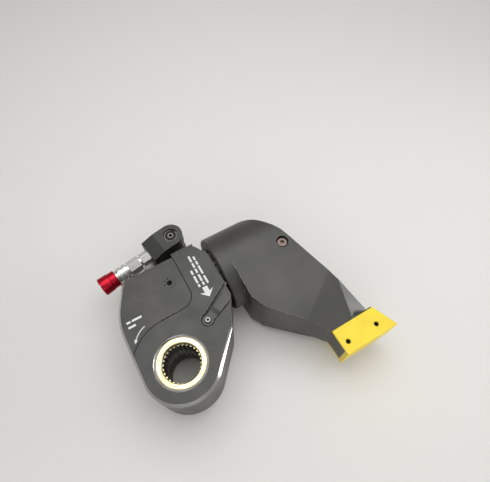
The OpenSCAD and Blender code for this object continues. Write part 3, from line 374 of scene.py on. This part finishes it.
def sprayedEnamel(name, look):
    material, tree, shader = newMaterial(name, look)
    place = addNode(tree, "ShaderNodeTexCoord").outputs["Object"]
    face = addNode(tree, "ShaderNodeNewGeometry").outputs["Normal"]
    edge = addNode(tree, "ShaderNodeBevel", {"Radius": look["edgeRound"] * mm}, samples=bevelSamples)
    chipEdge = addNode(tree, "ShaderNodeBevel", {"Radius": look["chipWidth"] * mm}, samples=bevelSamples)
    bend = addNode(tree, "ShaderNodeVectorMath", links={0: chipEdge.outputs[0], 1: face},
                   operation="DOT_PRODUCT")
    bend = addNode(tree, "ShaderNodeMapRange", look["chipSpan"], {"Value": bend.outputs["Value"]})
    flake = addNode(tree, "ShaderNodeTexNoise", {"Scale": 1 / (look["chip"] * mm), "Detail": 5.0},
                    {"Vector": place})
    flake = addNode(tree, "ShaderNodeMapRange", look["flakeSpan"], {"Value": flake.outputs["Fac"]})
    chips = addNode(tree, "ShaderNodeMath", links={0: bend.outputs[0], 1: flake.outputs[0]},
                    operation="MULTIPLY")
    cloud = addNode(tree, "ShaderNodeTexNoise", {"Scale": 1 / (look["cloud"] * mm), "Detail": 3.0},
                    {"Vector": place})
    tone = addNode(tree, "ShaderNodeMapRange", look["cloudSpan"], {"Value": cloud.outputs["Fac"]})
    colour = addNode(tree, "ShaderNodeMix",
                     {mixFrom: linearColour(look["colour"]), mixTo: linearColour(look["deeper"])},
                     {0: tone.outputs[0]}, data_type="RGBA")
    colour = addNode(tree, "ShaderNodeMix", {mixTo: linearColour(look["bare"])},
                     {0: chips.outputs[0], mixFrom: colour.outputs[mixed]}, data_type="RGBA")
    peel = addNode(tree, "ShaderNodeTexNoise", {"Scale": 1 / (look["peel"] * mm), "Detail": 1.0},
                   {"Vector": place})
    bump = addNode(tree, "ShaderNodeBump", {"Strength": look["bump"], "Distance": look["peelDepth"] * mm},
                   {"Height": peel.outputs["Fac"], "Normal": edge.outputs[0]})
    feed(tree, shader, {"Base Color": colour.outputs[mixed], "Normal": bump.outputs[0]})
    return material


# Axes that the turned finishes and the springs follow, in mm and degrees
swivelAt = (64.0, 177.0)
leverAt = (52.0, 31.0)
couplerRise = 14.0  # one coupler is this far above mid thickness, the other below
couplerTurn = 190.0  # the couplers slope down from the swivel by ten degrees
rodPinAt = (26.0, 98.0)  # at rest
plateLean = math.degrees(math.atan2(*rodPinAt))  # the drive plates' angle then


def turningAxis(place, height=0.0, turn=(0, 0, 0)):
    return {"axisAt": [c * mm for c in (*place, height)], "axisTurn": [math.radians(a) for a in turn]}


couplerAxis = turningAxis(swivelAt, couplerRise, (0, 90, couplerTurn))
returnAxis = turningAxis(swivelAt, -couplerRise, (0, 90, couplerTurn))
driveAxis = turningAxis((0, 0))
swivelAxis = turningAxis(swivelAt)
leverAxis = turningAxis(leverAt)
nickel = {"colour": "#f3f2ee", "darker": "#e6e5e0", "metallic": 0.75, "roughness": 0.18}

finishes = {
    "bodyCoating": satinCoating("satinBlackBodyCoating", {  # black, with a painted highlight of pale metal on its chamfers
        **coating, **chamfer, "colour": "#363634", "paler": "#40403c"}),
    "shroudCoating": satinCoating("satinBlackShroudCoating", {  # a shade warmer, with the same painted highlight on its chamfers
        **coating, **chamfer, "colour": "#363633", "paler": "#403f3c"}),
    "swivelCoating": satinCoating("satinBlackSwivelCoating", {  # a shade deeper than the body: painted shade, a darker-lit copy of the coating
        **coating, "colour": "#2e2e2c", "paler": "#373734"}),
    "armCoating": satinCoating("satinBlackArmCoating", {  # duller, in broad clouds, more rubbed, and a shade paler than the body: painted light, a lighter-lit copy of the coating
        **coating, "colour": "#3b3b38", "paler": "#454440", "roughness": 0.42, "cloud": 45, "rubWidth": 1.4}),
    "leverSteel": satinCoating("phosphatedLeverSteel", {  # dark grey, little rubbed
        **coating, "colour": "#464643", "paler": "#50504c", "roughness": 0.4, "rubWidth": 0.8}),
    "shoeEnamel": sprayedEnamel("yellowShoeEnamel", enamel),
    "bronze": turnedMetal("turnedBronze", {  # pale gold, with painted shade inside the bore
        **turned, **driveAxis, "colour": "#ece0b4", "darker": "#dfcf98", "roughness": 0.3,
        "boreRadius": 24.3, "wallLean": 0.5, "boreShade": "#2e2719"}),
    "hardSteel": groundSteel("hardenedSteel", {  # even mid grey
        **ground, "colour": "#9a9893", "darker": "#85837e", "roughness": 0.36}),
    "groundSteel": groundSteel("groundPinSteel", {  # lighter and brighter than hardened steel
        **ground, "colour": "#c2c1bd", "darker": "#acaba7", "roughness": 0.28}),
    "pinEnd": turnedMetal("turnedPinSteel", {  # dark end face, with painted shade in its hollows and one pale ring, a painted highlight on its turned step
        **turned, **swivelAxis, "colour": "#6f6e6a", "darker": "#5a5956", "metallic": 0.2, "specular": 0.15,
        "roughness": 0.36, "paintedRings": [(0, "#0c0c0c"), (2.4, "#8b8a86"), (4.2, "#161615"), (7.4, "#2a2a29")]}),
    "screwHead": turnedMetal("turnedScrewHead", {  # pale rim round a socket painted black, painted shade for its hollow
        **turned, **leverAxis, "colour": "#6f6e6a", "darker": "#5a5956", "metallic": 0.5, "roughness": 0.34,
        "paintedRings": [(0, "#0c0c0c"), (1.9, "#b3b2ad"), (3.2, "#31312f")]}),
    "ringSteel": turnedMetal("springRingSteel", {  # dull dark grey
        **turned, **driveAxis, "colour": "#7c7b77", "darker": "#676662", "metallic": 0.6, "roughness": 0.4}),
    "sleeveRing": turnedMetal("turnedRetainingRing", {  # mid grey with a soft ring of light
        **turned, **driveAxis, "colour": "#8b8a86", "darker": "#7a7975", "metallic": 0.8, "roughness": 0.42}),
    "plate": turnedMetal("brightNickelPlate", {  # near white, with sharp reflections
        **turned, **nickel, **couplerAxis}),
    "returnPlate": turnedMetal("brightNickelPlateReturn", {  # the same, turned about the other coupler
        **turned, **nickel, **returnAxis}),
    "brass": turnedMetal("turnedBrass", {  # clear yellow
        **turned, **couplerAxis, "colour": "#d9c07a", "darker": "#c6a95e", "roughness": 0.3}),
    "red": turnedMetal("redAnodisedAluminium", {  # deep red with a metal gleam
        **turned, **couplerAxis, "colour": "#c4142c", "darker": "#ad0f25", "metallic": 0.75,
        "roughness": 0.27, "edgeRound": 0.5}),
    "oxideAndShade": groundSteel("blackOxideSteelAndTickShade", {  # near black, hardly any gleam; the tick blocks wear it as painted shade in their grooves
        **ground, "colour": "#131313", "darker": "#0d0d0d", "metallic": 0.0, "specular": 0.2,
        "roughness": 0.55}),
    "tinted": groundSteel("temperTintedSteel", {  # brownish grey from heat
        **ground, "colour": "#8d7a72", "darker": "#6e5e58", "metallic": 0.8, "roughness": 0.4}),
    "spring": groundSteel("drawnSpringWire", {  # light grey, shiny along the wire
        **ground, "colour": "#b9b8b4", "darker": "#a2a19d", "roughness": 0.3}),
    "gapShade": groundSteel("paintedGapShade", {  # dead black, painted shade for the split gap
        **ground, "colour": "#101010", "darker": "#0a0a0a", "metallic": 0.0, "specular": 0.15,
        "roughness": 0.75}),
    "rubber": groundSteel("nitrileRubber", {  # dull charcoal
        **ground, "colour": "#2b2b2c", "darker": "#232324", "metallic": 0.0, "roughness": 0.7}),
    "ink": groundSteel("whiteMarkingInk", {  # flat white, a little thin where the grain shows through
        **ground, "colour": "#f2f2ee", "darker": "#dcdcd7", "metallic": 0.0, "roughness": 0.6,
        "stretch": (1, 1, 1)}),
}

wears = {  # the housing and the springs are dressed further down
    "swivelCoating": ["swivel_base", "swivel_block"],
    "shroudCoating": ["shroud"],
    "armCoating": ["reaction_arm"],
    "shoeEnamel": ["reaction_shoe"],
    "bronze": ["drive_sleeve_upper", "drive_sleeve_lower", "rod_gland"],
    "hardSteel": ["ratchet_wheel", "drive_plate_upper", "drive_plate_lower", "pawl_holder", "drive_pawl",
                  "reaction_pawl", "rod_eye", "end_cap", "piston"],
    "groundSteel": ["holder_pins", "rod_pin", "piston_rod", "reaction_pawl_pin", "release_shaft",
                    "swivel_dowels", "passage_plug"],
    "pinEnd": ["swivel_pin"],
    "screwHead": ["release_screw"],
    "leverSteel": ["release_lever"],
    "sleeveRing": ["sleeve_circlips"],
    "ringSteel": ["swivel_circlips", "coupler_snap_ring"],
    "plate": ["coupler_adapters", "female_coupler"],
    "returnPlate": ["male_coupler"],
    "brass": ["coupler_valve"],
    "red": ["coupler_sleeve"],
    "oxideAndShade": ["shroud_screws", "shoe_screws"],
    "tinted": ["arm_lock_screw"],
    "rubber": ["piston_seal", "rod_seal", "end_cap_seal", "swivel_base_seals", "swivel_pin_seals"],
}

for finish, members in wears.items():
    for name in members:
        mesh = nodes[name].data
        mesh.materials.clear()
        mesh.materials.append(finishes[finish])
print("finishes:", len(finishes), "made,", sum(len(m) for m in wears.values()), "nodes dressed")


def arcPoint(centre, radius, angle):
    return centre[0] + radius * math.cos(angle), centre[1] + radius * math.sin(angle)


def newTree(name, inputs):
    tree = bpy.data.node_groups.new(name, "GeometryNodeTree")
    for socket, kind in {"Geometry": "Geometry", **inputs}.items():
        tree.interface.new_socket(socket, in_out="INPUT", socket_type="NodeSocket" + kind)
    tree.interface.new_socket("Geometry", in_out="OUTPUT", socket_type="NodeSocketGeometry")
    return tree, addNode(tree, "NodeGroupInput").outputs


def endTree(tree, shape, material):
    solid = addNode(tree, "GeometryNodeRealizeInstances", links={0: shape})
    painted = addNode(tree, "GeometryNodeSetMaterial", {"Material": material}, {"Geometry": solid.outputs[0]})
    addNode(tree, "NodeGroupOutput", links={0: painted.outputs[0]})
    return tree


def plainMesh(holder, name):  # the evaluated result as a mesh of its own, without the modifier
    graph = bpy.context.evaluated_depsgraph_get()
    piece = putInScene(name, bpy.data.meshes.new_from_object(holder.evaluated_get(graph)))
    bpy.data.objects.remove(holder)
    return piece


def grow(name, mesh, tree, sizes):  # what the tree makes of a mesh, with its inputs at these sizes
    holder = putInScene(name + "Holder", mesh)
    modifier = holder.modifiers.new(name, "NODES")
    modifier.node_group = tree
    for item in tree.interface.items_tree:
        if item.in_out == "INPUT" and item.name in sizes:
            modifier[item.identifier] = sizes[item.name]
    return plainMesh(holder, name)


# Marks on the flat face, in mm: ink that stands just proud of it
marks = {
    "thick": 0.05,
    "sunk": 0.02,
    "width": 2.9,
    "columns": [  # stripes beside the arrow: across, then each stripe from its upper to its lower end
        (63.4, [(103, 96.5), (94, 82.5), (80.5, 76)]),
        (69.8, [(124.5, 114.5), (112.5, 105), (103, 96), (93.5, 82.5), (81, 76)]),
        (75.6, [(121, 115), (113, 107), (105, 91.5), (88.5, 76)]),
    ],
    "rows": [  # stripes on the shroud: height, then each stripe from left to right
        (77.6, [(-39.5, -34), (-32.2, -19)]),
        (70.8, [(-39.5, -29.5)]),
    ],
    "arrow": [(65.4, 73.5), (65.4, 65.4), (59.0, 67.3), (68.6, 57.8), (78.2, 67.3), (72.4, 65.4),
              (72.4, 73.5)],
    "curve": {"centre": (-12.0, 33.5), "radius": 31.2, "from": 106, "to": 143, "steps": 16, "width": 1.3,
              "head": 5.0, "barb": 2.3},
}


# Stripes: one point for each, its length and direction carried as attributes, a thin block on every point
def stripeTree(material):
    tree, given = newTree("inkStripes", {"Width": "Float", "Thickness": "Float"})
    length = addNode(tree, "GeometryNodeInputNamedAttribute", {"Name": "stripeLength"}, data_type="FLOAT")
    turn = addNode(tree, "GeometryNodeInputNamedAttribute", {"Name": "stripeTurn"}, data_type="FLOAT")
    size = addNode(tree, "ShaderNodeCombineXYZ",
                   links={0: length.outputs[0], 1: given["Width"], 2: given["Thickness"]})
    angle = addNode(tree, "ShaderNodeCombineXYZ", links={2: turn.outputs[0]})
    block = addNode(tree, "GeometryNodeMeshCube", {"Size": (1, 1, 1)})
    spread = addNode(tree, "GeometryNodeInstanceOnPoints",
                     links={"Points": given["Geometry"], "Instance": block.outputs["Mesh"],
                            "Rotation": angle.outputs[0], "Scale": size.outputs[0]})
    return endTree(tree, spread.outputs[0], material)


def makeStripes(plan, finish):
    middle = faceHeight + (plan["thick"] - plan["sunk"]) / 2
    upright, level = math.pi / 2, 0.0
    stripes = [((x, (a + b) / 2, middle), a - b, upright) for x, spans in plan["columns"] for a, b in spans]
    stripes += [(((a + b) / 2, y, middle), b - a, level) for y, spans in plan["rows"] for a, b in spans]
    places, lengths, turns = zip(*stripes)
    mesh = bpy.data.meshes.new("stripePoints")
    mesh.from_pydata([[c * mm for c in place] for place in places], [], [])
    for name, values in (("stripeLength", [length * mm for length in lengths]), ("stripeTurn", turns)):
        mesh.attributes.new(name, "FLOAT", "POINT").data.foreach_set("value", values)
    sizes = {"Width": plan["width"] * mm, "Thickness": (plan["thick"] + plan["sunk"]) * mm}
    return grow("inkStripes", mesh, stripeTree(finish), sizes)


# Ticks: a ring of black blocks, each turned to lie along its radius, in the grooves cut around the shroud's
# screw: painted shade that darkens the grooves
ticks = {
    "centre": (31.0, 101.5),
    "count": 8,
    "radius": 7.3,
    "length": 2.9,
    "width": 0.9,
    "depth": 0.38,
    "shadeBlockThick": 0.06,
}


def tickTree(material):
    tree, given = newTree("tickRing", {"Count": "Int", "Radius": "Float", "Size": "Vector",
                                       "Centre": "Vector"})
    ring = addNode(tree, "GeometryNodeMeshCircle",
                   links={"Vertices": given["Count"], "Radius": given["Radius"]})
    step = addNode(tree, "ShaderNodeMath", {0: 2 * math.pi}, {1: given["Count"]}, operation="DIVIDE")
    index = addNode(tree, "GeometryNodeInputIndex")
    turn = addNode(tree, "ShaderNodeMath", links={0: index.outputs[0], 1: step.outputs[0]},
                   operation="MULTIPLY")
    angle = addNode(tree, "ShaderNodeCombineXYZ", links={2: turn.outputs[0]})
    block = addNode(tree, "GeometryNodeMeshCube", links={"Size": given["Size"]})
    spread = addNode(tree, "GeometryNodeInstanceOnPoints",
                     links={"Points": ring.outputs[0], "Instance": block.outputs["Mesh"],
                            "Rotation": angle.outputs[0]})
    placed = addNode(tree, "GeometryNodeTransform",
                     links={"Geometry": spread.outputs[0], "Translation": given["Centre"]})
    return endTree(tree, placed.outputs[0], material)


def makeTicks(plan, finish):
    size = [plan[side] * mm for side in ("length", "width", "shadeBlockThick")]
    centre = [c * mm for c in (*plan["centre"], faceHeight - plan["depth"])]
    sizes = {"Count": plan["count"], "Radius": plan["radius"] * mm, "Size": size, "Centre": centre}
    return grow("tickShadeBlocks", bpy.data.meshes.new("tickStart"), tickTree(finish), sizes)


# Split line: a dead black bead along the shroud's edge, painted shade for the gap there, one path on each
# face
splitLine = {
    "across": 50.0,  # the upright part of the line
    "level": 60.0,  # the level part
    "corner": 18.0,
    "cornerSteps": 10,
    "nose": 59.0,  # radius of the part that bends round the drive axis
    "noseEnd": 142.5,
    "noseSteps": 18,
    "top": 134.1,  # just inside the top edge
    "bead": 0.95,
    "beadSides": 10,
    "sunk": 0.72,
}


def beadTree(sides, material):
    tree, given = newTree("gapShadeBead", {"Radius": "Float"})
    path = addNode(tree, "GeometryNodeMeshToCurve", links={"Mesh": given["Geometry"]})
    section = addNode(tree, "GeometryNodeCurvePrimitiveCircle", {"Resolution": sides},
                      {"Radius": given["Radius"]}, mode="RADIUS")
    bead = addNode(tree, "GeometryNodeCurveToMesh", {"Fill Caps": True},
                   {"Curve": path.outputs[0], "Profile Curve": section.outputs[0]})
    return endTree(tree, bead.outputs[0], material)


def splitPath(plan):
    r, turns, bends = plan["corner"], plan["cornerSteps"], plan["noseSteps"]
    middle = (plan["across"] - r, plan["level"] + r)
    path = [(plan["across"], plan["top"])]
    path += [arcPoint(middle, r, -math.pi / 2 * i / turns) for i in range(turns + 1)]
    angles = [math.radians(90 + (plan["noseEnd"] - 90) * i / bends) for i in range(bends + 1)]
    return path + [arcPoint((0, 0), plan["nose"], a) for a in angles]


def makeSplitLine(plan, finish):
    path = splitPath(plan)
    points, edges = [], []
    for side in (1, -1):
        edges += [(len(points) + i, len(points) + i + 1) for i in range(len(path) - 1)]
        points += [(x * mm, y * mm, side * (faceHeight - plan["sunk"]) * mm) for x, y in path]
    mesh = bpy.data.meshes.new("splitPath")
    mesh.from_pydata(points, edges, [])
    return grow("splitShadeBead", mesh, beadTree(plan["beadSides"], finish), {"Radius": plan["bead"] * mm})


def inkShape(name, outline, plan, finish):
    bm = bmesh.new()
    low = [bm.verts.new((x * mm, y * mm, (faceHeight - plan["sunk"]) * mm)) for x, y in outline]
    sheet = bm.faces.new(low)
    raised = bmesh.ops.extrude_face_region(bm, geom=[sheet])
    top = [v for v in raised["geom"] if isinstance(v, bmesh.types.BMVert)]
    bmesh.ops.translate(bm, verts=top, vec=(0, 0, (plan["thick"] + plan["sunk"]) * mm))
    bmesh.ops.recalc_face_normals(bm, faces=bm.faces)
    mesh = bpy.data.meshes.new(name)
    bm.to_mesh(mesh)
    bm.free()
    mesh.materials.append(finish)
    return putInScene(name, mesh)


def curvedArrow(bow):
    centre, r, steps = bow["centre"], bow["radius"], bow["steps"]
    angles = [math.radians(bow["from"] + (bow["to"] - bow["from"]) * i / steps) for i in range(steps + 1)]
    end = angles[-1]
    outer = [arcPoint(centre, r + bow["width"] / 2, a) for a in angles]
    inner = [arcPoint(centre, r - bow["width"] / 2, a) for a in reversed(angles)]
    head = [arcPoint(centre, r + bow["barb"], end), arcPoint(centre, r, end + bow["head"] / r),
            arcPoint(centre, r - bow["barb"], end)]
    return outer + head + inner


inkStripes = makeStripes(marks, finishes["ink"])
tickShadeBlocks = makeTicks(ticks, finishes["oxideAndShade"])
splitShadeBead = makeSplitLine(splitLine, finishes["gapShade"])
inkArrow = inkShape("inkArrow", marks["arrow"], marks, finishes["ink"])
inkTurnArrow = inkShape("inkTurnArrow", curvedArrow(marks["curve"]), marks, finishes["ink"])
markPieces = [inkStripes, tickShadeBlocks, splitShadeBead, inkArrow, inkTurnArrow]
for piece in markPieces:
    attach(piece, "housing")
print("marks:", len(markPieces), "pieces of ink, fill and bead")

# Housing: the solid's own form, with the straight flank beside the nose chamfered as the nose is
flank = {
    "start": (37.0, -33.6),  # where the flank leaves the nose
    "end": (73.5, 6.6),
    "cut": 3.2,
    "overrun": (0.3, 3.2),  # past the start and past the end
    "outside": 1.0,  # how far the cutter stands off the solid
    "weld": 0.002,  # joins the loose triangles
    "heal": 0.03,  # closes the hair's step where the two chamfers meet
    "flat": 0.3,  # degrees within which faces are one
    "sharp": 20,  # degrees from which an edge stays sharp
}


def flankCutter(plan):
    start, end = Vector(plan["start"]), Vector(plan["end"])
    along = (end - start).normalized()
    inward = Vector((-along.y, along.x))
    ends = (start - along * plan["overrun"][0], end + along * plan["overrun"][1])
    cut, out = plan["cut"], plan["outside"]
    profile = [(-out, faceHeight - cut - out), (-out, faceHeight + out), (cut + out, faceHeight + out)]
    bm = bmesh.new()
    for side in (1, -1):
        paintedRings = []
        for place in ends:
            spots = [(place + inward * depth, side * height) for depth, height in profile]
            paintedRings.append([bm.verts.new((spot.x * mm, spot.y * mm, z * mm)) for spot, z in spots])
        near, far = paintedRings
        bm.faces.new(near)
        bm.faces.new(reversed(far))
        for i in range(len(profile)):
            j = (i + 1) % len(profile)
            bm.faces.new((near[i], far[i], far[j], near[j]))
    bmesh.ops.recalc_face_normals(bm, faces=bm.faces)
    mesh = bpy.data.meshes.new("flankCutter")
    bm.to_mesh(mesh)
    bm.free()
    return putInScene("flankCutter", mesh)


def makeHousing(plan, finish):
    bm = bmesh.new()
    bm.from_mesh(nodes["housing"].data)
    bmesh.ops.remove_doubles(bm, verts=bm.verts, dist=plan["weld"] * mm)
    mesh = bpy.data.meshes.new("housingBody")
    bm.to_mesh(mesh)
    bm.free()
    mesh.materials.append(finish)
    holder = putInScene("housingBody", mesh)
    cutter = flankCutter(plan)
    modifier = holder.modifiers.new("flank", "BOOLEAN")
    modifier.operation, modifier.solver, modifier.object = "DIFFERENCE", "MANIFOLD", cutter
    piece = plainMesh(holder, "housingDressed")
    bpy.data.objects.remove(cutter)
    bm = bmesh.new()
    bm.from_mesh(piece.data)
    bmesh.ops.remove_doubles(bm, verts=bm.verts, dist=plan["heal"] * mm)
    bmesh.ops.dissolve_degenerate(bm, dist=plan["heal"] * mm, edges=bm.edges)  # takes off the flap left by it
    bmesh.ops.dissolve_limit(bm, angle_limit=math.radians(plan["flat"]), verts=bm.verts, edges=bm.edges)
    bm.to_mesh(piece.data)
    bm.free()
    piece.data.shade_smooth()
    piece.data.set_sharp_from_angle(angle=math.radians(plan["sharp"]))
    return piece


housingDressed = makeHousing(flank, finishes["bodyCoating"])
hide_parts("housing")
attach(housingDressed, "housing")
print("housing:", len(housingDressed.data.polygons), "faces with the flank chamfered")

# Springs: wire wound round each axis
coil = {
    "steps": 24,  # points in a turn
    "sides": 10,
    "sharp": 50,  # degrees from which an edge stays sharp
    "couplerReach": 90.0,  # from the swivel's axis to the coupler's spring
    "pawlReach": 52.0,  # from the drive axis to the pawl's two springs
    "pawlOffset": 5.5,  # from the middle of the drive plates to each of them
}
pawlMiddle = arcPoint((0, 0), coil["pawlReach"], math.radians(90 - plateLean))
springs = {
    "couplerSpringWire": {
        "node": "coupler_spring", "body": "swivel_block", "joint": "sleeve_pull",
        "starts": [(*arcPoint(swivelAt, coil["couplerReach"], math.radians(couplerTurn)), couplerRise)],
        "turn": (0, 90, couplerTurn),
        "wire": 0.9, "outside": 21.6, "length": 14.0, "turns": 4, "travel": 4.2, "seatAtEnd": False,
    },
    "pawlSpringWires": {
        "node": "drive_pawl_springs", "body": "drive_arm", "joint": "drive_pawl_lift",
        "starts": [(*arcPoint(pawlMiddle, side * coil["pawlOffset"], math.radians(180 - plateLean)), 0)
                   for side in (1, -1)],
        "turn": (-90, 0, -plateLean),
        "wire": 0.9, "outside": 6.0, "length": 22.4, "turns": 7, "travel": 4.2, "seatAtEnd": True,
    },
    "reactionSpringWire": {
        "node": "reaction_pawl_spring", "body": "housing", "joint": "reaction_pawl_lift",
        "starts": [(62.1, 20.0, 0)],
        "turn": (0, 90, 0),
        "wire": 0.9, "outside": 6.6, "length": 9.3, "turns": 4, "travel": 2.4, "seatAtEnd": True,
    },
}


def springTree(plan, material):
    tree, given = newTree("coilSprings", {"Radius": "Float", "Height": "Float", "Turns": "Float",
                                          "Wire": "Float", "Rotation": "Vector"})
    path = addNode(tree, "GeometryNodeCurveSpiral", {"Resolution": plan["steps"]},
                   {"Rotations": given["Turns"], "Start Radius": given["Radius"],
                    "End Radius": given["Radius"], "Height": given["Height"]})
    section = addNode(tree, "GeometryNodeCurvePrimitiveCircle", {"Resolution": plan["sides"]},
                      {"Radius": given["Wire"]}, mode="RADIUS")
    wound = addNode(tree, "GeometryNodeCurveToMesh", {"Fill Caps": True},
                    {"Curve": path.outputs[0], "Profile Curve": section.outputs[0]})
    spread = addNode(tree, "GeometryNodeInstanceOnPoints",
                     links={"Points": given["Geometry"], "Instance": wound.outputs[0],
                            "Rotation": given["Rotation"]})
    return endTree(tree, spread.outputs[0], material)


def makeSpring(name, plan, tree):
    wire, turn = plan["wire"], [math.radians(a) for a in plan["turn"]]
    axis = Euler(turn).to_matrix() @ Vector((0, 0, 1))
    mesh = bpy.data.meshes.new(name + "Starts")
    mesh.from_pydata([(Vector(p) + axis * (wire / 2)) * mm for p in plan["starts"]], [], [])
    sizes = {"Radius": (plan["outside"] - wire) / 2 * mm, "Height": (plan["length"] - wire) * mm,
             "Turns": float(plan["turns"]), "Wire": wire / 2 * mm, "Rotation": turn}
    piece = grow(name, mesh, tree, sizes)
    piece.data.shade_smooth()
    piece.data.set_sharp_from_angle(angle=math.radians(coil["sharp"]))
    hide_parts(plan["node"])
    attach(piece, plan["body"])
    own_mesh(piece)
    return piece


coilTree = springTree(coil, finishes["spring"])
springPieces = [makeSpring(name, plan, coilTree) for name, plan in springs.items()]
print("springs:", len(springPieces), "pieces")
